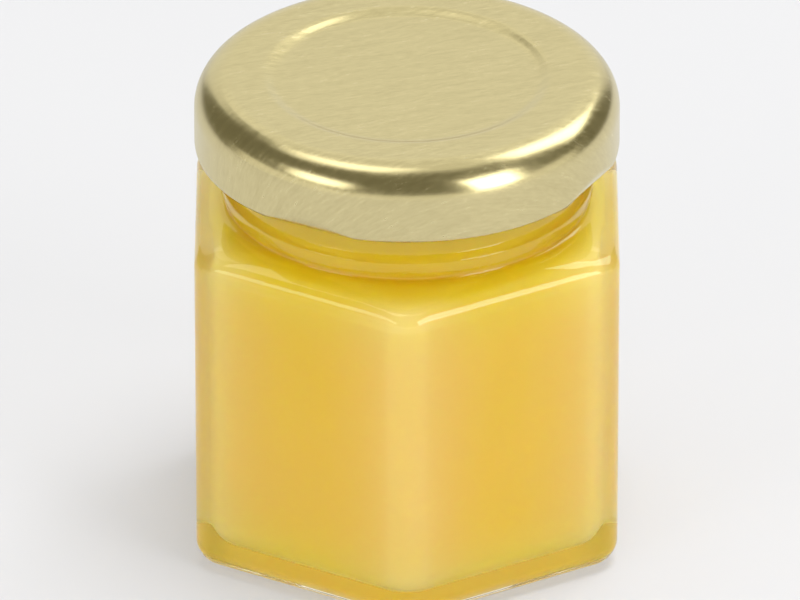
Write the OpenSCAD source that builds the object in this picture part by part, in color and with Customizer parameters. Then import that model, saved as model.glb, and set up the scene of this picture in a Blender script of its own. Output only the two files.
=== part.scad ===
// Small hexagonal glass jar, filled with honey and shut with a twist-off metal lid.
// Units are millimetres. The origin is the middle of the underside and +Z is up.
// One edge between two flats faces -Y, and two of the flats face -X and +X.

/* [Jar body] */
// Width of the body across two opposite flats
across_flats = 45.4; // [38:0.1:60]
// Height at which a flat would meet the sloping shoulder if that edge were sharp
body_h = 37.35; // [26:0.05:60]
// Radius of the six upright edges
edge_r = 3.6; // [2.6:0.1:6]
// Radius of the heel, where the flats turn into the underside
heel_r = 2.8; // [1:0.1:3]
// Radius where the flats turn into the shoulder
shoulder_r = 2; // [1:0.1:3]
// Slope of the shoulder above the level, in degrees
shoulder_slope = 30; // [15:1:40]
// Width of the shoulder, from the middle of a flat in to the foot of the neck
shoulder_w = 2.5; // [2:0.1:5]
// Distance below the shoulder over which the upright edges start to round off
edge_fade = 1; // [0.5:0.1:6]

/* [Glass thickness] */
// Thickness of the walls and of the shoulder
wall = 2.6; // [1.5:0.1:3]
// Thickness of the bottom
bottom_t = 2.5; // [2:0.1:6]
// Radius of the cavity's upright edges
inner_edge_r = 3.6; // [2.6:0.1:6]
// Radius where the cavity's walls turn into its floor
inner_heel_r = 3; // [1.5:0.1:3.2]

/* [Neck] */
// Height of the mouth's rim above the shoulder edge
neck_h = 15.8; // [12:0.1:22]
// Thickness of the glass at the neck
neck_wall = 2.4; // [1.8:0.1:3]
// Radius that softens the two edges of the rim
rim_r = 0.7; // [0.3:0.1:0.9]
// Distance by which the foot of the neck spreads on the shoulder
foot_out = 0.9; // [0.5:0.1:1.5]
// Height of the bead's lower edge above the shoulder edge
bead_up = 2.7; // [2.2:0.1:4]
// Height of the bead, where it stands out furthest
bead_h = 1.2; // [0.8:0.1:2.4]
// Distance by which the bead stands out from the neck
bead_out = 0.7; // [0.4:0.1:1]
// Distance by which the groove under the bead stands out from the neck
groove_out = 0.3; // [0:0.1:0.4]

/* [Honey] */
// Free height between the honey and the rim
headspace = 3.55; // [1:0.05:3.9]

/* [Lid] */
// Gap between the neck and the inside of the skirt
lid_gap = 3.2; // [2.8:0.1:4]
// Thickness of the sheet metal
sheet_t = 0.25; // [0.15:0.05:0.4]
// Height of the lid from the skirt's lower edge to its top
lid_h = 8.2; // [6:0.1:9.5]
// Outer radius between the skirt and the top
lid_corner_r = 3.8; // [2:0.1:4]
// Width of the raised ring around the sunk panel, corner included
panel_margin = 7.8; // [6.5:0.1:12]
// Depth of the sunk panel
panel_drop = 0.45; // [0.2:0.05:0.8]
// Width of the slope around the panel
panel_slope_w = 1.2; // [0.6:0.1:2]

/* [Curl and lugs] */
// Height of the curled edge
curl_h = 1.6; // [1.2:0.1:2]
// Thickness of the curled edge, from the outside in
curl_w = 1.2; // [1.1:0.1:1.5]
// Height of the slope that leads from the sheet in to the curled edge
curl_slope_h = 0.4; // [0.2:0.1:0.6]
// Radius of the curled edge's lower corners
curl_r = 0.4; // [0.2:0.05:0.5]
// Number of lugs pressed into the curled edge
lugs = 4; // [3:1:6]
// Width of the flat that pressing leaves at each lug
lug_flat_w = 11.5; // [8:0.1:12]
// Turn of the first lug about the jar's axis, in degrees
lug_turn = 61.7; // [0:0.1:90]
// Distance that each lug reaches in from the curled edge
lug_in = 0.9; // [0.5:0.1:1]
// Height of each lug
lug_h = 1; // [0.6:0.1:1.1]

/* [Hidden] */

lap = 0.4;                       // how far solids that become one piece run into each other
arc_n = 6;                       // straight steps in a small arc of an outline
round_n = 96;                    // straight steps in a turned shape, where it is drawn as a mesh
fade_power = 6;                  // how late the upright edges' growth to a circle sets in
half_w = across_flats / 2;
neck_foot_r = half_w - shoulder_w;
neck_r = neck_foot_r - foot_out;
bore_r = neck_r - neck_wall;
rim_z = body_h + neck_h;
honey_z = rim_z - headspace;
lid_r = neck_r + max(lid_gap + sheet_t, lid_corner_r - rim_r);   // the corner clears the rim
lid_top = rim_z + sheet_t;
lid_low = lid_top - lid_h;
panel_r = lid_r - panel_margin;

// Directions of one ring's points within a sixth of a turn, measured from an upright edge.
// They crowd around the edge, so that its arc is round and the flats stay flat.
sector = [-23, -16, -9, -4.8, -3.2, -1.6, 0, 1.6, 3.2, 4.8, 9, 16, 23, 30];
turns = [for (k = [0:5]) for (a = sector) a + 60 * k - 90];
ring_n = len(turns);

// ---------------------------------------------------------------- rounded hexagon

// Angle of a direction from the nearest upright edge, which stand at -90, -30, 30 degrees...
function off_edge(a) = abs(((a + 120) % 60 + 60) % 60 - 30);

// Distance from the axis to a hexagon with rounded corners, in the direction a.
// flat is the distance to its sides and r is the radius of its corners.
// With r equal to flat it is a circle.
function hex_reach(a, flat, r) =
    let (
        d = off_edge(a),
        centre = (flat - r) / cos(30),
        tangent = atan2(r * sin(30), centre + r * cos(30))
    )
    d <= tangent
        ? centre * cos(d) + sqrt(r * r - pow(centre * sin(d), 2))
        : flat / cos(30 - d);

// A section is [distance to the flats, corner radius, height], and its ring lies around it.
function ring(s) = [for (a = turns) hex_reach(a, s[0], s[1]) * [cos(a), sin(a), 0] + [0, 0, s[2]]];

// Solid through a list of sections, from the lowest to the highest.
module loft(sections) {
    n = len(sections);
    points = [for (s = sections) each ring(s)];
    sides = [
        for (j = [0:n - 2]) for (i = [0:ring_n - 1])
            let (a = j * ring_n + i, b = j * ring_n + (i + 1) % ring_n)
            each [[a, a + ring_n, b + ring_n], [a, b + ring_n, b]]
    ];
    bottom = [for (i = [0:ring_n - 1]) i];
    top = [for (i = [ring_n - 1:-1:0]) (n - 1) * ring_n + i];
    polyhedron(points = points, faces = concat([bottom], sides, [top]), convexity = 4);
}

// ---------------------------------------------------------------- sections of the glass

// Height of the outside of the shoulder at a distance from the axis
function shoulder_z(d) = body_h + (half_w - d) * tan(shoulder_slope);

// Corner radius at height z: the upright edge below z0, growing to a full circle at z1
function corner_at(z, z0, z1, flat, r) =
    let (t = min(1, max(0, (z - z0) / (z1 - z0)))) r + (flat - r) * pow(t, fade_power);

// Sections from the floor up: heel, flats, shoulder bend, slope up to the distance top_r.
// flat, r: size of the section; drop: how far below the outside of the shoulder it runs.
function body_sections(flat, r, floor_z, floor_r, bend_r, drop, top_r) =
    let (
        bend_d = flat - bend_r + bend_r * sin(shoulder_slope),
        bend_z = shoulder_z(bend_d) - drop - bend_r * cos(shoulder_slope),
        fade_z = bend_z - edge_fade,
        top_z = shoulder_z(top_r) - drop,
        bend_end = 90 - shoulder_slope,
        bend = [
            for (i = [0:arc_n]) let (a = bend_end * i / arc_n)
                [flat - bend_r + bend_r * cos(a), bend_z + bend_r * sin(a)]
        ],
        slope = [for (i = [1:3]) let (d = bend_d + (top_r - bend_d) * i / 3) [d, shoulder_z(d) - drop]],
        upper = concat([[flat, fade_z], [flat, (fade_z + bend_z) / 2]], bend, slope)
    )
    concat(
        [
            for (i = [0:4]) let (a = 90 * i / 4, in = floor_r * (1 - sin(a)))
                [flat - in, max(r - in, 0.3), floor_z + floor_r * (1 - cos(a))]
        ],
        [for (p = upper) [p[0], corner_at(p[1], fade_z, top_z, p[0], r), p[1]]]
    );

// ---------------------------------------------------------------- jar

// Points of an arc about [x, z] from angle a0 to a1
function arc(x, z, r, a0, a1) =
    [for (i = [0:arc_n]) let (a = a0 + (a1 - a0) * i / arc_n) [x + r * cos(a), z + r * sin(a)]];

// Space inside the glass up to the height z. The honey is the same space, only lower.
module cavity(z) {
    throat_r = bore_r - 0.1;     // the loft ends just inside the round bore
    drop = wall / cos(shoulder_slope);
    throat_z = shoulder_z(throat_r) - drop;
    body = body_sections(half_w - wall, inner_edge_r, bottom_t, inner_heel_r, shoulder_r, drop, throat_r);
    loft(concat(body, [[throat_r, throat_r, throat_z + 2 * lap]]));
    translate([0, 0, throat_z - lap]) cylinder(r = bore_r, h = z - throat_z + lap, $fn = round_n);
}

// Round neck: foot, bead, straight wall and softened rim
module neck() {
    foot_z = shoulder_z(neck_foot_r);
    root_z = foot_z - 3 * lap;   // the neck is rooted in the body
    foot_r = neck_foot_r - 0.1;  // and leaves it just inside the top of the shoulder
    groove_r = neck_r + groove_out;
    foot_rise = (foot_out - groove_out) * 0.75;
    bead_r = neck_r + bead_out;
    bead_z = body_h + bead_up;
    bead_top = bead_z + bead_h;
    rotate_extrude($fn = round_n) polygon(concat(
        [[bore_r - lap, root_z], [foot_r - lap, root_z], [foot_r, foot_z]],
        [[groove_r, foot_z + foot_rise], [groove_r, bead_z - bead_out + groove_out]],
        [[bead_r, bead_z], [bead_r, bead_top], [neck_r, bead_top + bead_out]],
        arc(neck_r - rim_r, rim_z - rim_r, rim_r, 0, 90),
        arc(bore_r + rim_r, rim_z - rim_r, rim_r, 90, 180),
        [[bore_r - lap, rim_z - rim_r]]
    ));
}

// Glass jar: hexagonal body with a round neck, hollow right up to its mouth
module jar() {
    color([0.86, 0.88, 0.84, 0.4])
    difference() {
        union() {
            loft(body_sections(half_w, edge_r, 0, heel_r, shoulder_r, 0, neck_foot_r));
            neck();
        }
        cavity(rim_z + lap);
    }
}

// ---------------------------------------------------------------- honey

// Honey: fills the glass from its floor into the neck
module honey() {
    color([0.88, 0.72, 0.28]) cavity(honey_z);
}

// ---------------------------------------------------------------- lid

// Outline of the lid's top side, from the axis out and down to the skirt's lower edge.
// in is the distance in from the outside, 0 for the outer face and sheet_t for the inner one.
function lid_face(in) =
    let (
        top = lid_top - in,
        corner = lid_corner_r - in,
        cx = lid_r - lid_corner_r,
        cz = lid_top - lid_corner_r
    )
    concat(
        [[0, top - panel_drop], [panel_r - panel_slope_w, top - panel_drop], [panel_r, top]],
        [
            for (i = [0:2 * arc_n]) let (a = 90 - 90 * i / (2 * arc_n))
                [cx + corner * cos(a), cz + corner * sin(a)]
        ]
    );

// Turned shape of the lid: one sheet, with a solid ring for the curled edge
module lid_sheet() {
    outer = lid_face(0);
    inner = lid_face(sheet_t);
    skirt_in = lid_r - sheet_t;
    curl_in = lid_r - curl_w;
    rotate_extrude($fn = round_n) polygon(concat(
        outer,
        arc(lid_r - curl_r, lid_low + curl_r, curl_r, 0, -90),
        arc(curl_in + curl_r, lid_low + curl_r, curl_r, -90, -180),
        [[curl_in, lid_low + curl_h - curl_slope_h], [skirt_in, lid_low + curl_h]],
        [for (i = [len(inner) - 1:-1:0]) inner[i]]
    ));
}

// Everything outside the flat that pressing leaves at one lug. The flat slants out
// and meets the round skirt again at the top of the curled edge.
module press_cut() {
    flat_d = sqrt(lid_r * lid_r - pow(lug_flat_w / 2, 2));
    lean = atan2(lid_r - flat_d, curl_h);
    below = curl_h;
    translate([flat_d, 0, lid_low])
        rotate([0, lean, 0])
            translate([0, -lug_flat_w, -below])
                cube([lid_r - flat_d + curl_w, 2 * lug_flat_w, below + curl_h / cos(lean)]);
}

// One lug: the metal that pressing moves in, under the thread
module lug() {
    reach = lid_r - curl_w - lug_in;
    length = 0.8 * lug_flat_w;
    translate([reach, -length / 2, lid_low + curl_r]) cube([lug_in + curl_w / 2, length, lug_h]);
}

// Twist-off lid: sunk panel, rounded corner, skirt, curled edge and lugs
module lid() {
    color([0.80, 0.76, 0.58])
    difference() {
        union() {
            lid_sheet();
            for (k = [0:lugs - 1]) rotate([0, 0, lug_turn + 360 / lugs * k]) lug();
        }
        for (k = [0:lugs - 1]) rotate([0, 0, lug_turn + 360 / lugs * k]) press_cut();
    }
}

jar();
honey();
lid();
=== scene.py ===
"""Hexagonal honey jar with a twist-off lid: glass, honey, lid and the table it stands on."""

import math

import bmesh
import bpy
import numpy as np
from bpy.props import FloatProperty, FloatVectorProperty, IntProperty, PointerProperty
from bpy.types import Operator, Panel, PropertyGroup
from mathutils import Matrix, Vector


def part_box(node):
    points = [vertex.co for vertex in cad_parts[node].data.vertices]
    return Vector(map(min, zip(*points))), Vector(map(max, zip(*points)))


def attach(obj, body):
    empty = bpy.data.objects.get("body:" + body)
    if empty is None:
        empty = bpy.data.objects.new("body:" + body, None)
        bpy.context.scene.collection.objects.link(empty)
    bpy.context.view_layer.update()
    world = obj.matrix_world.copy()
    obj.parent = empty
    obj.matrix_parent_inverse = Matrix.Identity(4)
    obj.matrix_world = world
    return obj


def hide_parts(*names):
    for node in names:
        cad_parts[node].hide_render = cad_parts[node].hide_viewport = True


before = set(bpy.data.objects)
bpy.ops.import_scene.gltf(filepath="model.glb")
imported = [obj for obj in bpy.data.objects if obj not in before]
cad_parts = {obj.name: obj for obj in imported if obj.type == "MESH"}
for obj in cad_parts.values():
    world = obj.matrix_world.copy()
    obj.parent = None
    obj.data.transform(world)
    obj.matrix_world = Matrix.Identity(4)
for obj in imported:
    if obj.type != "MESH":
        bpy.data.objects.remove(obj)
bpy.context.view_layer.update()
JAR_LOW, JAR_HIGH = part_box("jar")
HONEY_LOW, HONEY_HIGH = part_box("honey")
LID_LOW, LID_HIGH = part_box("lid")

bl_info = {
    "name": "Honey jar",
    "version": (1, 0, 0),
    "blender": (4, 5, 0),
    "location": "3D View > Sidebar > Honey jar",
    "description": "Makes a small hexagonal glass jar of honey with a brushed twist-off lid",
    "category": "Add Mesh",
}

MM = 0.001
FRONT = -90.0        # direction of the upright edge that faces the viewer, in degrees
SECTORS = 6
SECTOR = 360 // SECTORS
HALF_SECTOR = SECTOR // 2

# Glass: steps in each part of its outline, then its small fixed measures
HEEL_STEPS = 12
FLAT_STEPS = 10
FADE_STEPS = 14
BEND_STEPS = 16
SLOPE_STEPS = 14
FADE_POWER = 6               # how late the upright edges round off on the shoulder
FLOOR_INSET = 0.6 * MM       # from the heel's inner end to the first section of the floor
LEAST_EDGE = 0.3 * MM        # least radius of an upright edge
NECK_SOFT = 0.5 * MM         # radius where the shoulder turns into the neck or the bore
NECK_GAP = 0.5 * MM          # largest distance between two rings of the neck
BORE_GAP = 1.0 * MM          # and of the bore
RIM_DEPTH = 2 * MM           # how far the neck's outline runs down into the bore
THROAT_IN = 0.5 * MM         # the cavity's slope ends this far before the bore
THROAT_RISE = 1.2 * MM       # height of the bore's first part

# Surface of the honey
RISE_STEPS = 8
SURFACE_RINGS = 12
CLIMB = 9                    # how fast the dished surface falls away from its edge
LEAST_RING = 0.02            # innermost ring, as a share of the surface's radius

# Mesh of the lid
LID_TURNS = 288
LID_ROWS = 200
CORNER_POINTS = 24           # points on each rounded corner of its outline
LEAST_FACES = 1000           # with fewer faces than this, the node tree has failed
MERGE = 1e-7                 # points nearer than this become one
PRESS_SOFT = 0.00012         # softness of the edge of each pressed flat
PRESS_START = 0.00002        # a shallower press than this leaves the sheet as it is

TABLE_HALF = 3.0             # half the side of the table, in metres
SPOT_SOFT = 0.003            # width over which the glow under the jar ends


# ---------------------------------------------------------------- sizes and colours


def length(name, text, default, low=0.0, high=0.2):
    """Length property in metres, given in millimetres."""
    return FloatProperty(
        name=name, description=text, default=default * MM, min=low, max=high,
        unit="LENGTH", subtype="DISTANCE", precision=5,
    )


def colour(name, text, default):
    """Colour property."""
    return FloatVectorProperty(
        name=name, description=text, default=default, subtype="COLOR", size=3, min=0.0, max=1.0,
    )


class GlassSizes(PropertyGroup):
    """Sizes of the glass jar."""

    half_width: length("Half width", "Distance from the axis to a flat", JAR_HIGH.x / MM)
    body_height: length("Body height", "Height of the sharp edge of flat and shoulder", 37.35)
    edge_radius: length("Edge radius", "Radius of the six upright edges", 3.6)
    heel_radius: length("Heel radius", "Radius from the flats into the underside", 2.8)
    shoulder_radius: length("Shoulder radius", "Radius from the flats into the shoulder", 2.0)
    shoulder_slope: FloatProperty(
        name="Shoulder slope", description="Slope of the shoulder above the level",
        default=math.radians(30), subtype="ANGLE", unit="ROTATION",
    )
    shoulder_width: length("Shoulder width", "From the middle of a flat to the neck's foot", 2.5)
    edge_fade: length("Edge fade", "Height over which the upright edges round off", 1.0)
    wall: length("Wall", "Thickness of the walls", 2.6)
    bottom: length("Bottom", "Thickness of the bottom", HONEY_LOW.z / MM)
    inner_edge_radius: length("Inner edge radius", "Radius of the cavity's edges", 3.6)
    inner_heel_radius: length("Inner heel radius", "Radius around the cavity's floor", 3.0)
    neck_wall: length("Neck wall", "Thickness of the glass at the neck", 2.4)
    rim_radius: length("Rim radius", "Radius of the rim's edges", 0.7)
    foot_out: length("Foot", "How far the neck's foot spreads", 0.9)
    bead_up: length("Bead height above shoulder", "Lower edge of the bead", 2.7)
    bead_height: length("Bead height", "Height of the bead", 1.2)
    bead_out: length("Bead", "How far the bead stands out", 0.7)
    groove_out: length("Groove", "How far the groove stands out", 0.3)
    bead_soft: length("Bead softness", "Radius of the bead's edges", 0.28)
    tint: colour("Tint", "Colour of the glass", (0.985, 0.99, 0.975))


class HoneySizes(PropertyGroup):
    """Fill level and colours of the honey."""

    level: length("Level", "Height of the honey's surface", HONEY_HIGH.z / MM)
    face: length("Face reach", "Distance from the axis to the honey's faces", HONEY_HIGH.x / MM)
    into_wall: length("Into the wall", "How far the honey reaches into the glass", 0.06)
    dish: length("Dish", "How far the middle of the surface sinks below its edge", 0.4)
    deep: colour("Deep honey", "Colour of the clear honey", (0.985, 0.672, 0.02))
    # pale colours the cloudy drifts and also the painted light at the upright edges
    pale: colour("Pale honey", "Colour of the set, cloudy honey", (0.93, 0.64, 0.20))


class LidSizes(PropertyGroup):
    """Sizes and colours of the lid."""

    radius: length("Radius", "Outer radius of the lid", LID_HIGH.x / MM)
    top: length("Top", "Height of the lid's raised ring", LID_HIGH.z / MM)
    low: length("Low", "Height of the skirt's lower edge", LID_LOW.z / MM)
    corner: length("Corner radius", "Radius from the top into the skirt", 3.8)
    sheet: length("Sheet", "Thickness of the sheet metal", 0.25)
    panel: length("Panel", "Radius of the sunk panel, slope included", 15.35)
    drop: length("Drop", "Depth of the sunk panel", 0.45)
    slope: length("Slope", "Width of the slope around the panel", 1.2)
    crease: length("Crease", "Radius at the top and the foot of that slope", 1.0)
    curl_height: length("Curl height", "Height of the curled edge", 1.6)
    curl_width: length("Curl width", "Thickness of the curled edge", 1.2)
    curl_radius: length("Curl radius", "Radius of the curled edge's corners", 0.4)
    lugs: IntProperty(name="Lugs", description="Number of pressed lugs", default=4, min=0, max=8)
    lug_width: length("Lug width", "Width of the flat at each lug", 11.5)
    lug_turn: FloatProperty(
        name="Lug turn", description="Turn of the first lug about the axis",
        default=math.radians(61.7), subtype="ANGLE", unit="ROTATION",
    )
    lug_in: length("Lug reach", "How far each lug reaches in", 0.9)
    brush_turn: FloatProperty(
        name="Brush turn", description="Direction of the brush lines on the flat blank",
        default=math.radians(20), subtype="ANGLE", unit="ROTATION",
    )
    metal: colour("Metal", "Colour of the lacquered metal", (0.70, 0.61, 0.33))
    line: colour("Brush lines", "Colour in the brushed lines", (0.60, 0.52, 0.27))


class StageSizes(PropertyGroup):
    """Camera, table and light."""

    distance: length("Camera distance", "From the camera to its target", 1500, high=5.0)
    pitch: FloatProperty(
        name="Camera pitch", description="How far the camera looks down",
        default=math.radians(29.085), subtype="ANGLE", unit="ROTATION",
    )
    target_side: length("Target side", "Target's distance to the left of the axis", 0.744)
    target_height: length("Target height", "Height of the camera's target", 25.8)
    gap: length("Table gap", "Air under the glass, which rests on the grain of the table", 0.1)
    lens: FloatProperty(name="Lens", description="Focal length in mm", default=626.8, min=20)
    light: FloatProperty(name="Light", description="Strength of all lamps", default=1.0, min=0)
    room: FloatProperty(name="Room light", description="Even light of the room", default=0.21)
    room_colour: colour("Room colour", "Colour of the room's light", (1.0, 0.95, 0.70))
    table: colour("Table", "Colour of the table", (0.33, 0.332, 0.348))
    glow: FloatProperty(name="Table glow", description="Light from below the table", default=0.32)
    # painted light: the table glows brighter in the spot under the jar, to light the honey's
    # underside through the glass
    painted_glow_under_jar: FloatProperty(
        name="Glow under the jar", description="Light from below the jar's own spot", default=1.0
    )
    spot: length("Spot", "Radius of the spot under the jar", 19.0)


# ---------------------------------------------------------------- mesh helpers


def directions():
    """Directions of a ring's points in degrees, crowded at the six upright edges."""
    near = [0.5 * i for i in range(11)]              # up to 5 degrees off the edge
    wide = [7.5 + 2.5 * i for i in range(10)]        # from there to the middle of the flat
    half = near + wide
    sector = [-d for d in reversed(half[1:-1])] + half
    return np.array([FRONT + SECTOR * k + d for k in range(SECTORS) for d in sector])


def hex_reach(off_edge, flat, corner):
    """Distance from the axis to a hexagon with rounded corners, off_edge degrees from a corner."""
    half = math.radians(HALF_SECTOR)
    centre = (flat - corner) / math.cos(half)
    tangent = math.degrees(math.atan2(corner / 2, centre + corner * math.cos(half)))
    d = np.radians(off_edge)
    chord = np.maximum(corner**2 - (centre * np.sin(d)) ** 2, 0)
    round_part = centre * np.cos(d) + np.sqrt(chord)
    flat_part = flat / np.cos(half - d)
    return np.where(off_edge <= tangent + 1e-9, round_part, flat_part)


def loft(name, sections):
    """Closed smooth mesh through sections of (distance to the flats, corner radius, height)."""
    turns = directions()
    off_edge = np.abs((turns - FRONT + HALF_SECTOR) % SECTOR - HALF_SECTOR)
    n = len(turns)
    cos, sin = np.cos(np.radians(turns)), np.sin(np.radians(turns))
    points = [(0.0, 0.0, sections[0][2])]
    for flat, corner, z in sections:
        reach = hex_reach(off_edge, flat, corner)
        points += zip(reach * cos, reach * sin, np.full(n, z))
    points.append((0.0, 0.0, sections[-1][2]))
    last = len(points) - 1
    faces = [(0, 1 + (i + 1) % n, 1 + i) for i in range(n)]
    for j in range(len(sections) - 1):
        a, b = 1 + j * n, 1 + (j + 1) * n
        for i in range(n):
            k = (i + 1) % n
            faces.append((a + i, a + k, b + k, b + i))
    top = last - n
    faces += [(last, top + i, top + (i + 1) % n) for i in range(n)]
    mesh = bpy.data.meshes.new(name)
    mesh.from_pydata([tuple(map(float, p)) for p in points], [], faces)
    mesh.polygons.foreach_set("use_smooth", [True] * len(mesh.polygons))
    mesh.update()
    mesh.validate()
    return mesh


def soften(points, radii, steps=6):
    """Outline of (x, z) points with its corners rounded to the given radii."""
    out = []
    for i, (p, r) in enumerate(zip(points, radii)):
        if r == 0 or i in (0, len(points) - 1):
            out.append(tuple(p))
            continue
        p = Vector(p)
        back, on = Vector(points[i - 1]) - p, Vector(points[i + 1]) - p
        room = min(back.length, on.length) * 0.49
        back, on = back.normalized(), on.normalized()
        half = back.angle(on) / 2
        cut = min(r / math.tan(half), room)
        radius = cut * math.tan(half)
        middle = p + (back + on).normalized() * math.hypot(cut, radius)
        start, end = p + back * cut - middle, p + on * cut - middle
        turn = start.angle_signed(end)
        for k in range(steps + 1):
            a = -turn * k / steps
            spoke = (start.x * math.cos(a) - start.y * math.sin(a),
                     start.x * math.sin(a) + start.y * math.cos(a))
            out.append((middle.x + spoke[0], middle.y + spoke[1]))
    return out


def spread(points, gap):
    """The same outline with extra points wherever two lie further apart than gap."""
    out = [points[0]]
    for a, b in zip(points, points[1:]):
        count = max(1, math.ceil(math.dist(a, b) / gap))
        out += [tuple(np.add(a, np.subtract(b, a) * (k / count))) for k in range(1, count + 1)]
    return out


def add_piece(name, mesh, material, node):
    """Puts a finished mesh in the scene in place of its CAD node."""
    piece = bpy.data.objects.new(name, mesh)
    bpy.context.scene.collection.objects.link(piece)
    mesh.materials.clear()
    mesh.materials.append(material)
    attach(piece, "root")
    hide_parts(node)
    return piece


# ---------------------------------------------------------------- shape of the glass


def shoulder_z(g, d):
    """Height of the outside of the shoulder at a distance from the axis."""
    return g.body_height + (g.half_width - d) * math.tan(g.shoulder_slope)


def body_sections(g, flat, edge, floor, heel, drop, top):
    """Sections from the floor up: heel, flats, shoulder bend and slope up to the distance top."""
    slope, bend = g.shoulder_slope, g.shoulder_radius
    bend_d = flat - bend + bend * math.sin(slope)
    bend_z = shoulder_z(g, bend_d) - drop - bend * math.cos(slope)
    fade_z = bend_z - g.edge_fade
    top_z = shoulder_z(g, top) - drop

    def corner_at(z, width):
        t = min(1.0, max(0.0, (z - fade_z) / (top_z - fade_z)))
        return edge + (width - edge) * t**FADE_POWER

    out = [(flat - heel - FLOOR_INSET, max(edge - heel, LEAST_EDGE), floor)]
    for k in range(HEEL_STEPS + 1):
        a = math.radians(90 * k / HEEL_STEPS)
        inset = heel * (1 - math.sin(a))
        out.append((flat - inset, max(edge - inset, LEAST_EDGE), floor + heel * (1 - math.cos(a))))
    low = floor + heel
    for k in range(1, FLAT_STEPS + 1):
        out.append((flat, edge, low + (fade_z - low) * k / FLAT_STEPS))
    upper = [(flat, fade_z + (bend_z - fade_z) * k / FADE_STEPS) for k in range(1, FADE_STEPS)]
    for k in range(BEND_STEPS + 1):
        a = (math.pi / 2 - slope) * k / BEND_STEPS
        upper.append((flat - bend + bend * math.cos(a), bend_z + bend * math.sin(a)))
    for k in range(1, SLOPE_STEPS + 1):
        d = bend_d + (top - bend_d) * k / SLOPE_STEPS
        upper.append((d, shoulder_z(g, d) - drop))
    return out + [(d, corner_at(z, d), z) for d, z in upper]


def round_sections(outline):
    """Round sections through an outline of (radius, height)."""
    return [(r, r, z) for r, z in outline]


def neck_outline(g, rim):
    """Outside of the neck from its foot to the rim, and over the rim into the bore."""
    foot = g.half_width - g.shoulder_width
    neck = foot - g.foot_out
    bore = neck - g.neck_wall
    groove = neck + g.groove_out
    foot_z = shoulder_z(g, foot)
    bead_z = g.body_height + g.bead_up
    bead_top = bead_z + g.bead_height
    rise = (foot - groove) * math.tan(g.shoulder_slope)
    points = [
        (foot, foot_z),
        (groove, foot_z + rise),
        (groove, bead_z - g.bead_out + g.groove_out),
        (neck + g.bead_out, bead_z),
        (neck + g.bead_out, bead_top),
        (neck, bead_top + g.bead_out),
        (neck, rim),
        (bore, rim),
        (bore, rim - RIM_DEPTH),
    ]
    soft = g.bead_soft
    radii = [0, NECK_SOFT, soft, soft, soft, soft, g.rim_radius, g.rim_radius, 0]
    return spread(soften(points, radii), NECK_GAP)


def cavity_sections(g, grow=0.0):
    """Space inside the glass, grown by a little: sections of its body, outline into its bore."""
    bore = g.half_width - g.shoulder_width - g.foot_out - g.neck_wall + grow
    drop = g.wall / math.cos(g.shoulder_slope) - grow
    body = body_sections(
        g, g.half_width - g.wall + grow, g.inner_edge_radius + grow, g.bottom - grow,
        g.inner_heel_radius + grow, drop, bore + THROAT_IN,
    )
    throat = shoulder_z(g, bore) - drop
    start = (body[-1][0], body[-1][2])
    turn = soften([start, (bore, throat), (bore, throat + THROAT_RISE)], [0, NECK_SOFT, 0])
    return body, turn[1:]


class JAR_OT_glass(Operator):
    """Makes the glass jar: hexagonal body, shoulder, beaded neck and open bore"""

    bl_idname = "honey_jar.glass"
    bl_label = "Glass"

    def execute(self, context):
        g = context.scene.jar_glass
        rim = JAR_HIGH.z
        foot = g.half_width - g.shoulder_width
        outside = body_sections(
            g, g.half_width, g.edge_radius, JAR_LOW.z, g.heel_radius, 0.0, foot,
        )
        neck = neck_outline(g, rim)
        body, turn = cavity_sections(g)
        bore = [(neck[-1][0], neck[-1][1]), turn[-1]]
        sections = outside + round_sections(neck[1:])
        sections += round_sections(spread(bore, BORE_GAP)[1:])
        sections += round_sections(turn[-2::-1]) + body[::-1]
        mesh = loft("glass_jar", sections)
        add_piece("glass_jar", mesh, clear_glass(g), "jar")
        return {"FINISHED"}


class JAR_OT_honey(Operator):
    """Makes the honey that fills the glass from its floor into the neck"""

    bl_idname = "honey_jar.honey"
    bl_label = "Honey"

    def execute(self, context):
        g, h = context.scene.jar_glass, context.scene.jar_honey
        body, turn = cavity_sections(g, h.into_wall)
        bore, low = turn[-1]
        rise = [
            (bore, low + (h.level - low) * k / RISE_STEPS) for k in range(1, RISE_STEPS + 1)
        ]
        surface = []
        for k in range(1, SURFACE_RINGS + 1):
            out = 1 - k / SURFACE_RINGS
            climb = math.exp(-(1 - out) * CLIMB)
            surface.append((bore * max(out, LEAST_RING), h.level - h.dish * (1 - climb)))
        sections = body + round_sections(turn + rise + surface)
        mesh = loft("honey", sections)
        add_piece("honey_fill", mesh, set_honey(h), "honey")
        return {"FINISHED"}


# ---------------------------------------------------------------- node helpers


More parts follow.
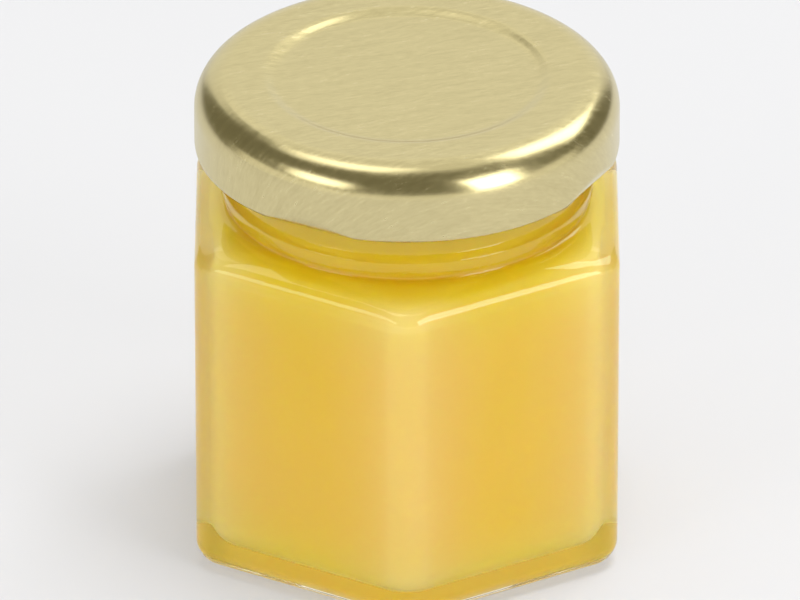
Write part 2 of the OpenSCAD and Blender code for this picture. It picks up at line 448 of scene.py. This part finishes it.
class Tree:
    """Adds nodes to a tree and links them in one call."""

    def __init__(self, tree):
        self.tree = tree

    def add(self, kind, links=None, values=None, **settings):
        """New node with its links, socket values and settings."""
        node = self.tree.nodes.new(kind)
        for key, value in settings.items():
            setattr(node, key, value)
        for key, value in (values or {}).items():
            node.inputs[key].default_value = value
        for key, source in (links or {}).items():
            self.tree.links.new(source, node.inputs[key])
        return node

    def fill(self, socket, term):
        """Gives a socket a number, or a link from another socket."""
        if isinstance(term, (int, float)):
            socket.default_value = term
        else:
            self.tree.links.new(term, socket)

    def math(self, operation, *terms):
        """Result of a Math node on sockets or numbers."""
        node = self.tree.nodes.new("ShaderNodeMath")
        node.operation = operation
        for socket, term in zip(node.inputs, terms):
            self.fill(socket, term)
        return node.outputs[0]

    def plus(self, a, b):
        """Sum of two sockets or numbers."""
        return self.math("ADD", a, b)

    def minus(self, a, b):
        """Difference of two sockets or numbers."""
        return self.math("SUBTRACT", a, b)

    def times(self, a, b):
        """Product of two sockets or numbers."""
        return self.math("MULTIPLY", a, b)

    def mix(self, factor, first, second):
        """Colour between two colours."""
        node = self.add("ShaderNodeMix", {"Factor": factor}, data_type="RGBA")
        node.inputs[6].default_value = (*first, 1)
        node.inputs[7].default_value = (*second, 1)
        return node.outputs[2]

    def wire(self, shader, **sources):
        """Links sources to a shader's sockets, with _ for a space in their names."""
        for key, source in sources.items():
            self.tree.links.new(source, shader.inputs[key.replace("_", " ")])


def new_material(name):
    """Material with one Principled shader; gives the material, its tree helper and the shader."""
    material = bpy.data.materials.new(name)
    material.use_nodes = True
    shader = material.node_tree.nodes["Principled BSDF"]
    return material, Tree(material.node_tree), shader


def set_values(shader, **values):
    """Sets a shader's own sockets, with _ for a space in their names."""
    for key, value in values.items():
        shader.inputs[key.replace("_", " ")].default_value = value


# ---------------------------------------------------------------- materials


def clear_glass(g):
    """Clear moulded glass with faint waves from the mould."""
    material, t, shader = new_material("clear_glass")
    set_values(shader, Base_Color=(*g.tint, 1), Transmission_Weight=1.0, IOR=1.5)
    place = t.add("ShaderNodeTexCoord").outputs["Object"]
    waves = t.add("ShaderNodeTexNoise", {"Vector": place}, {"Scale": 90.0, "Detail": 1.0})
    bump = t.add(
        "ShaderNodeBump", {"Height": waves.outputs["Fac"]}, {"Strength": 0.06, "Distance": 0.0006}
    )
    haze = t.add("ShaderNodeTexNoise", {"Vector": place}, {"Scale": 260.0, "Detail": 3.0})
    rough = t.add(
        "ShaderNodeMapRange", {"Value": haze.outputs["Fac"]},
        {"From Min": 0.35, "From Max": 0.7, "To Min": 0.0, "To Max": 0.03},
    )
    t.wire(shader, Normal=bump.outputs[0], Roughness=rough.outputs[0])
    return material


def set_honey(h):
    """Set honey: deep yellow with pale cloudy drifts, and painted light that makes it paler towards
    the upright edges; painted shade keeps it deeper away from the faces, in the neck and shoulder
    under the lid and over its top and floor.
    """
    material, t, shader = new_material("set_honey")
    set_values(
        shader, Roughness=0.3, IOR=1.5, Specular_IOR_Level=0.12,
        Subsurface_Weight=1.0, Subsurface_Radius=(0.9, 1.0, 0.4), Subsurface_Scale=0.012,
    )
    place = t.add("ShaderNodeTexCoord").outputs["Object"]
    drift = t.add(
        "ShaderNodeTexNoise", {"Vector": place},
        {"Scale": 38.0, "Detail": 3.0, "Roughness": 0.45, "Distortion": 0.6},
    )
    level = t.add("ShaderNodeVectorMath", {0: place}, {1: (1, 1, 0)}, operation="MULTIPLY")
    reach = t.add("ShaderNodeVectorMath", {0: level.outputs[0]}, operation="LENGTH")
    # painted light: the honey turns paler towards the upright edges, where the glass gathers light
    edge = t.add(
        "ShaderNodeMapRange", {"Value": reach.outputs["Value"]},
        {"From Min": h.face, "From Max": h.face * 1.12, "To Min": -0.1, "To Max": 0.5},
    )
    # painted shade: away from the faces, in the neck and shoulder under the lid and over the top
    # and floor, the drifts fade and the honey stays the deep colour
    clear = t.add(
        "ShaderNodeMapRange", {"Value": reach.outputs["Value"]},
        {"From Min": h.face * 0.85, "From Max": h.face * 0.98, "To Min": -0.3, "To Max": 0.0},
    )
    drifts = t.plus(clear.outputs[0], t.times(drift.outputs["Fac"], 0.6))
    amount = t.plus(edge.outputs[0], drifts)
    t.wire(shader, Base_Color=t.mix(amount, h.deep, h.pale))
    return material


def brushed_metal(m):
    """Gold-lacquered sheet, brushed in straight lines while it was a flat blank."""
    material, t, shader = new_material("brushed_lid_metal")
    across = 0.25 + m.brush_turn / (2 * math.pi)
    set_values(shader, Metallic=1.0, Anisotropic=0.5, Anisotropic_Rotation=across)
    blank = t.add("ShaderNodeUVMap", uv_map="blank").outputs[0]
    turned = t.add(
        "ShaderNodeMapping", {"Vector": blank}, {"Rotation": (0, 0, -m.brush_turn)}
    ).outputs[0]
    long_lines = t.add("ShaderNodeMapping", {"Vector": turned}, {"Scale": (750, 3000, 1)})
    lines = t.add(
        "ShaderNodeTexNoise", {"Vector": long_lines.outputs[0]},
        {"Scale": 1.0, "Detail": 4.0, "Roughness": 0.7},
    )
    soft_lines = t.add("ShaderNodeMapping", {"Vector": turned}, {"Scale": (150, 1000, 1)})
    broad = t.add(
        "ShaderNodeTexNoise", {"Vector": soft_lines.outputs[0]}, {"Scale": 1.0, "Detail": 2.0}
    )
    both = t.plus(t.times(lines.outputs["Fac"], 0.65), t.times(broad.outputs["Fac"], 0.35))
    amount = t.add(
        "ShaderNodeMapRange", {"Value": both}, {"From Min": 0.35, "From Max": 0.65}
    ).outputs[0]
    rough = t.add(
        "ShaderNodeMapRange", {"Value": both},
        {"From Min": 0.3, "From Max": 0.7, "To Min": 0.19, "To Max": 0.29},
    )
    bump = t.add("ShaderNodeBump", {"Height": both}, {"Strength": 0.25, "Distance": 0.00003})
    tangent = t.add("ShaderNodeTangent", direction_type="UV_MAP", uv_map="blank")
    t.wire(
        shader, Base_Color=t.mix(amount, m.line, m.metal), Roughness=rough.outputs[0],
        Normal=bump.outputs[0], Tangent=tangent.outputs[0],
    )
    return material


# ---------------------------------------------------------------- lid


LID_INPUTS = [
    ("Radius", "radius"), ("Top", "top"), ("Low", "low"), ("Corner", "corner"),
    ("Sheet", "sheet"), ("Panel", "panel"), ("Drop", "drop"), ("Slope", "slope"),
    ("Crease", "crease"), ("Curl Height", "curl_height"), ("Curl Width", "curl_width"),
    ("Curl Radius", "curl_radius"), ("Lug Width", "lug_width"), ("Lug Turn", "lug_turn"),
    ("Lug In", "lug_in"),
]
LID_COUNTS = ["Lugs", "Turns", "Rows"]


def lid_tree():
    """Geometry Nodes: turns the lid's outline about the axis and presses the lugs into it."""
    group = bpy.data.node_groups.new("Twist-off lid", "GeometryNodeTree")
    face = group.interface
    for name, _ in LID_INPUTS:
        face.new_socket(name, in_out="INPUT", socket_type="NodeSocketFloat")
    for name in LID_COUNTS:
        face.new_socket(name, in_out="INPUT", socket_type="NodeSocketInt")
    face.new_socket("Metal", in_out="INPUT", socket_type="NodeSocketMaterial")
    face.new_socket("Geometry", in_out="OUTPUT", socket_type="NodeSocketGeometry")
    t = Tree(group)
    plus, minus, times = t.plus, t.minus, t.times
    size = t.add("NodeGroupInput").outputs

    # outline from the axis over the outside, around the curled edge and back under the sheet
    slope_foot = minus(size["Panel"], size["Slope"])
    sunk = minus(size["Top"], size["Drop"])
    under, under_sunk = minus(size["Top"], size["Sheet"]), minus(sunk, size["Sheet"])
    curl_in = minus(size["Radius"], size["Curl Width"])
    sheet_in = minus(size["Radius"], size["Sheet"])
    curl_top = plus(size["Low"], size["Curl Height"])
    inner_corner = minus(size["Corner"], size["Sheet"])
    outline = [
        (0.0, sunk, 0.0),
        (slope_foot, sunk, size["Crease"]),
        (size["Panel"], size["Top"], size["Crease"]),
        (size["Radius"], size["Top"], size["Corner"]),
        (size["Radius"], size["Low"], size["Curl Radius"]),
        (curl_in, size["Low"], size["Curl Radius"]),
        (curl_in, minus(curl_top, size["Curl Radius"]), 0.0),
        (sheet_in, curl_top, 0.0),
        (sheet_in, under, inner_corner),
        (size["Panel"], under, size["Crease"]),
        (slope_foot, under_sunk, size["Crease"]),
        (0.0, under_sunk, 0.0),
    ]
    at = t.add("GeometryNodeInputIndex").outputs[0]
    place = t.add("GeometryNodeIndexSwitch", {"Index": at}, data_type="VECTOR")
    bend = t.add("GeometryNodeIndexSwitch", {"Index": at}, data_type="FLOAT")
    while len(place.index_switch_items) < len(outline):
        place.index_switch_items.new()
        bend.index_switch_items.new()
    for i, (x, z, r) in enumerate(outline, 1):
        point = t.add("ShaderNodeCombineXYZ")
        t.fill(point.inputs["X"], x)
        t.fill(point.inputs["Z"], z)
        t.fill(place.inputs[i], point.outputs[0])
        t.fill(bend.inputs[i], r)
    row = t.add("GeometryNodeMeshLine", None, {"Count": len(outline)})
    placed = t.add(
        "GeometryNodeSetPosition", {"Geometry": row.outputs[0], "Position": place.outputs[0]}
    )
    curve = t.add("GeometryNodeMeshToCurve", {"Mesh": placed.outputs[0]})
    rounded = t.add(
        "GeometryNodeFilletCurve", {"Curve": curve.outputs[0], "Radius": bend.outputs[0]},
        {"Count": CORNER_POINTS, "Limit Radius": True}, mode="POLY",
    )

    # the outline turned about the axis
    grid = t.add(
        "GeometryNodeMeshGrid", {"Vertices X": plus(size["Turns"], 1), "Vertices Y": size["Rows"]},
        {"Size X": 1.0, "Size Y": 1.0},
    )
    spot = t.add("ShaderNodeSeparateXYZ", {"Vector": grid.outputs["UV Map"]})
    point = t.add(
        "GeometryNodeSampleCurve", {"Curves": rounded.outputs[0], "Factor": spot.outputs["Y"]},
        mode="FACTOR",
    )
    flat_point = t.add("ShaderNodeSeparateXYZ", {"Vector": point.outputs["Position"]})
    radius, height = flat_point.outputs["X"], flat_point.outputs["Z"]
    angle = times(spot.outputs["X"], 2 * math.pi)

    # pressing: a flat that slants out and fades at the top of the curled edge
    share = t.math("DIVIDE", 2 * math.pi, size["Lugs"])
    half = times(share, 0.5)
    past = plus(minus(angle, size["Lug Turn"]), half)
    off = minus(t.math("FLOORED_MODULO", past, share), half)
    half_flat = times(size["Lug Width"], 0.5)
    squares = minus(times(size["Radius"], size["Radius"]), times(half_flat, half_flat))
    flat_far = t.math("SQRT", squares)
    deepest = minus(size["Radius"], flat_far)
    lift = t.math("DIVIDE", minus(height, size["Low"]), size["Curl Height"])
    flat_now = plus(flat_far, times(deepest, lift))
    limit = t.math("DIVIDE", flat_now, t.math("COSINE", off))
    press = t.math("SMOOTH_MAX", minus(size["Radius"], limit), 0.0, PRESS_SOFT)
    press = t.math("MAXIMUM", minus(press, PRESS_START), 0.0)
    depth = t.math("DIVIDE", minus(size["Radius"], radius), size["Curl Width"])
    inward = minus(t.math("DIVIDE", size["Lug In"], deepest), 1.0)
    gain = plus(1.0, times(inward, t.math("MINIMUM", depth, 1.0)))
    curled = t.math("LESS_THAN", height, curl_top)
    reach = minus(radius, times(times(press, gain), curled))

    sin, cos = t.math("SINE", angle), t.math("COSINE", angle)
    turned = t.add(
        "ShaderNodeCombineXYZ", {"X": times(reach, cos), "Y": times(reach, sin), "Z": height}
    )
    shaped = t.add(
        "GeometryNodeSetPosition", {"Geometry": grid.outputs["Mesh"], "Position": turned.outputs[0]}
    )

    # places on the flat blank that the lid was pressed from
    whole = t.add("GeometryNodeCurveLength", {"Curve": rounded.outputs[0]}).outputs[0]
    out = times(whole, spot.outputs["Y"])
    blank = t.add("ShaderNodeCombineXYZ", {"X": times(out, cos), "Y": times(out, sin)})
    marked = t.add(
        "GeometryNodeStoreNamedAttribute",
        {"Geometry": shaped.outputs[0], "Value": blank.outputs[0]},
        {"Name": "blank"}, data_type="FLOAT2", domain="CORNER",
    )
    closed = t.add(
        "GeometryNodeMergeByDistance", {"Geometry": marked.outputs[0]}, {"Distance": MERGE}
    )
    smooth = t.add("GeometryNodeSetShadeSmooth", {"Geometry": closed.outputs[0]})
    real = t.add("GeometryNodeRealizeInstances", {"Geometry": smooth.outputs[0]})
    coated = t.add(
        "GeometryNodeSetMaterial", {"Geometry": real.outputs[0], "Material": size["Metal"]}
    )
    t.add("NodeGroupOutput", {"Geometry": coated.outputs[0]})
    return group


class JAR_OT_lid(Operator):
    """Makes the twist-off lid: sunk panel, rounded corner, skirt, curled edge and lugs"""

    bl_idname = "honey_jar.lid"
    bl_label = "Lid"

    def execute(self, context):
        m = context.scene.jar_lid
        metal = brushed_metal(m)
        group = lid_tree()
        maker = bpy.data.objects.new("lid_maker", bpy.data.meshes.new("lid_maker"))
        context.scene.collection.objects.link(maker)
        modifier = maker.modifiers.new("Lid", "NODES")
        modifier.node_group = group
        sockets = {s.name: s.identifier for s in group.interface.items_tree if s.in_out == "INPUT"}
        for name, attribute in LID_INPUTS:
            modifier[sockets[name]] = getattr(m, attribute)
        for name, count in zip(LID_COUNTS, (m.lugs, LID_TURNS, LID_ROWS)):
            modifier[sockets[name]] = count
        modifier[sockets["Metal"]] = metal
        graph = context.evaluated_depsgraph_get()
        mesh = bpy.data.meshes.new_from_object(
            maker.evaluated_get(graph), preserve_all_data_layers=True, depsgraph=graph
        )
        maker.modifiers.remove(modifier)
        bpy.data.objects.remove(maker)
        if len(mesh.polygons) < LEAST_FACES:
            raise RuntimeError("the lid's node tree made no mesh")
        mesh.name = "lid"
        outward(mesh)
        add_piece("brushed_lid", mesh, metal, "lid")
        return {"FINISHED"}


def outward(mesh):
    """Turns a closed mesh's faces to point out."""
    work = bmesh.new()
    work.from_mesh(mesh)
    bmesh.ops.recalc_face_normals(work, faces=work.faces)
    work.to_mesh(mesh)
    work.free()


# ---------------------------------------------------------------- stage


# Soft boxes: name, (turn from the front, height angle) in degrees, distance, width and
# height in metres, brightness. The back one and the cove above it are one white sweep.
SOFT_BOXES = [
    ("box_right", (48, 27), 0.9, 0.38, 0.56, 4.8),
    ("box_left", (-49, 29), 0.9, 0.46, 0.28, 3.0),
    ("box_over_right", (128, 48), 1.0, 0.44, 0.56, 3.5),
    ("box_over_left", (-122, 73), 1.0, 0.34, 0.54, 1.7),
    ("box_back", (180, 20), 1.2, 1.50, 0.97, 0.73),
    ("box_cove", (180, 66), 1.1, 0.80, 1.10, 0.68),
    ("box_low", (0, 5), 1.3, 2.40, 0.30, 0.85),
    ("box_low_left", (-70, 6), 1.3, 1.40, 0.48, 0.78),
    ("box_low_right", (70, 6), 1.3, 1.40, 0.48, 0.78),
]
# Fill lamps, laid out as above, which don't show in the shiny surfaces
FILLS = [
    ("fill_front", (-12, 14), 1.3, 1.80, 0.50, 3.6),
    ("fill_left", (-92, 28), 1.3, 0.80, 0.50, 2.8),
    ("fill_right", (92, 28), 1.3, 0.80, 0.50, 1.5),
    ("fill_over", (95, 79), 1.0, 0.46, 0.46, 10.5),
]


def soft_box(name, turn, height, far, wide, tall, bright, aim):
    """Rectangular lamp that looks at the jar."""
    lamp = bpy.data.lights.new(name, "AREA")
    lamp.shape = "RECTANGLE"
    lamp.size, lamp.size_y = wide, tall
    lamp.energy = bright * math.pi * wide * tall
    box = bpy.data.objects.new(name, lamp)
    a, e = math.radians(turn), math.radians(height)
    way = Vector((math.cos(e) * math.sin(a), -math.cos(e) * math.cos(a), math.sin(e)))
    box.location = aim + way * far
    box.rotation_euler = way.to_track_quat("Z", "Y").to_euler()
    bpy.context.scene.collection.objects.link(box)
    return box


def table_top(s):
    """Plain pale, glowing table, a little uneven in colour, with painted light under the jar: a
    brighter glow in a spot there lights the honey's underside.
    """
    material, t, shader = new_material("pale_table")
    set_values(shader, Roughness=0.9, Specular_IOR_Level=0.1, Emission_Color=(1, 1, 1, 1))
    place = t.add("ShaderNodeTexCoord").outputs["Object"]
    cloud = t.add("ShaderNodeTexNoise", {"Vector": place}, {"Scale": 3.0, "Detail": 2.0})
    darker = [c * 0.997 for c in s.table]
    away = t.add("ShaderNodeVectorMath", {0: place}, operation="LENGTH").outputs["Value"]
    # painted light: the spot under the jar glows brighter to light the honey from below
    glow = t.add(
        "ShaderNodeMapRange", {"Value": away},
        {"From Min": s.spot - SPOT_SOFT, "From Max": s.spot,
         "To Min": s.painted_glow_under_jar, "To Max": s.glow},
    )
    t.wire(
        shader, Base_Color=t.mix(cloud.outputs["Fac"], darker, s.table),
        Emission_Strength=glow.outputs[0],
    )
    return material


class JAR_OT_stage(Operator):
    """Sets the table, the camera and the soft light"""

    bl_idname = "honey_jar.stage"
    bl_label = "Stage"

    def execute(self, context):
        s, scene = context.scene.jar_stage, context.scene
        mesh = bpy.data.meshes.new("table")
        w, z = TABLE_HALF, -s.gap
        mesh.from_pydata([(-w, -w, z), (w, -w, z), (w, w, z), (-w, w, z)], [], [(0, 1, 2, 3)])
        mesh.materials.append(table_top(s))
        table = bpy.data.objects.new("table", mesh)
        scene.collection.objects.link(table)

        aim = Vector((0, 0, s.target_height))
        for name, (turn, height), far, wide, tall, bright in SOFT_BOXES:
            soft_box(name, turn, height, far, wide, tall, bright * s.light, aim)
        for name, (turn, height), far, wide, tall, bright in FILLS:
            fill = soft_box(name, turn, height, far, wide, tall, bright * s.light, aim)
            fill.visible_glossy = False
        world = bpy.data.worlds.new("room")
        scene.world = world
        world.use_nodes = True
        sky = world.node_tree.nodes["Background"]
        sky.inputs["Color"].default_value = (*s.room_colour, 1)
        sky.inputs["Strength"].default_value = s.room

        lens = bpy.data.cameras.new("camera")
        lens.sensor_width = 36
        lens.lens = s.lens
        lens.clip_start, lens.clip_end = 0.1, 20
        camera = bpy.data.objects.new("camera", lens)
        camera.location = (
            -s.target_side, -s.distance * math.cos(s.pitch),
            s.target_height + s.distance * math.sin(s.pitch),
        )
        camera.rotation_euler = (math.pi / 2 - s.pitch, 0, 0)
        scene.collection.objects.link(camera)
        scene.camera = camera
        scene.cycles.max_bounces = 24
        scene.cycles.diffuse_bounces = 10
        scene.cycles.glossy_bounces = 10
        scene.cycles.transmission_bounces = 20
        scene.view_settings.view_transform = "Standard"
        scene.view_settings.look = "None"
        return {"FINISHED"}


# ---------------------------------------------------------------- panel and registration


class JAR_PT_panel(Panel):
    """Sizes, colours and makers of the honey jar"""

    bl_idname = "JAR_PT_panel"
    bl_label = "Honey jar"
    bl_space_type = "VIEW_3D"
    bl_region_type = "UI"
    bl_category = "Honey jar"

    def draw(self, context):
        for title, attribute, operator in GROUPS:
            box = self.layout.box()
            box.label(text=title)
            group = getattr(context.scene, attribute)
            for key in group.__annotations__:
                box.prop(group, key)
            box.operator(operator)


GROUPS = [
    ("Glass", "jar_glass", "honey_jar.glass"),
    ("Honey", "jar_honey", "honey_jar.honey"),
    ("Lid", "jar_lid", "honey_jar.lid"),
    ("Stage", "jar_stage", "honey_jar.stage"),
]
SIZES = [GlassSizes, HoneySizes, LidSizes, StageSizes]
CLASSES = SIZES + [JAR_OT_glass, JAR_OT_honey, JAR_OT_lid, JAR_OT_stage, JAR_PT_panel]


def register():
    """Registers the classes and hangs each group of sizes on the scene."""
    for cls in CLASSES:
        bpy.utils.register_class(cls)
    for (_, attribute, _), sizes in zip(GROUPS, SIZES):
        setattr(bpy.types.Scene, attribute, PointerProperty(type=sizes))


def unregister():
    """Takes back what register made."""
    for _, attribute, _ in GROUPS:
        delattr(bpy.types.Scene, attribute)
    for cls in reversed(CLASSES):
        bpy.utils.unregister_class(cls)


def main():
    """Makes the jar and its stage."""
    register()
    bpy.ops.honey_jar.glass()
    bpy.ops.honey_jar.honey()
    bpy.ops.honey_jar.lid()
    bpy.ops.honey_jar.stage()


if __name__ == "__main__":
    main()
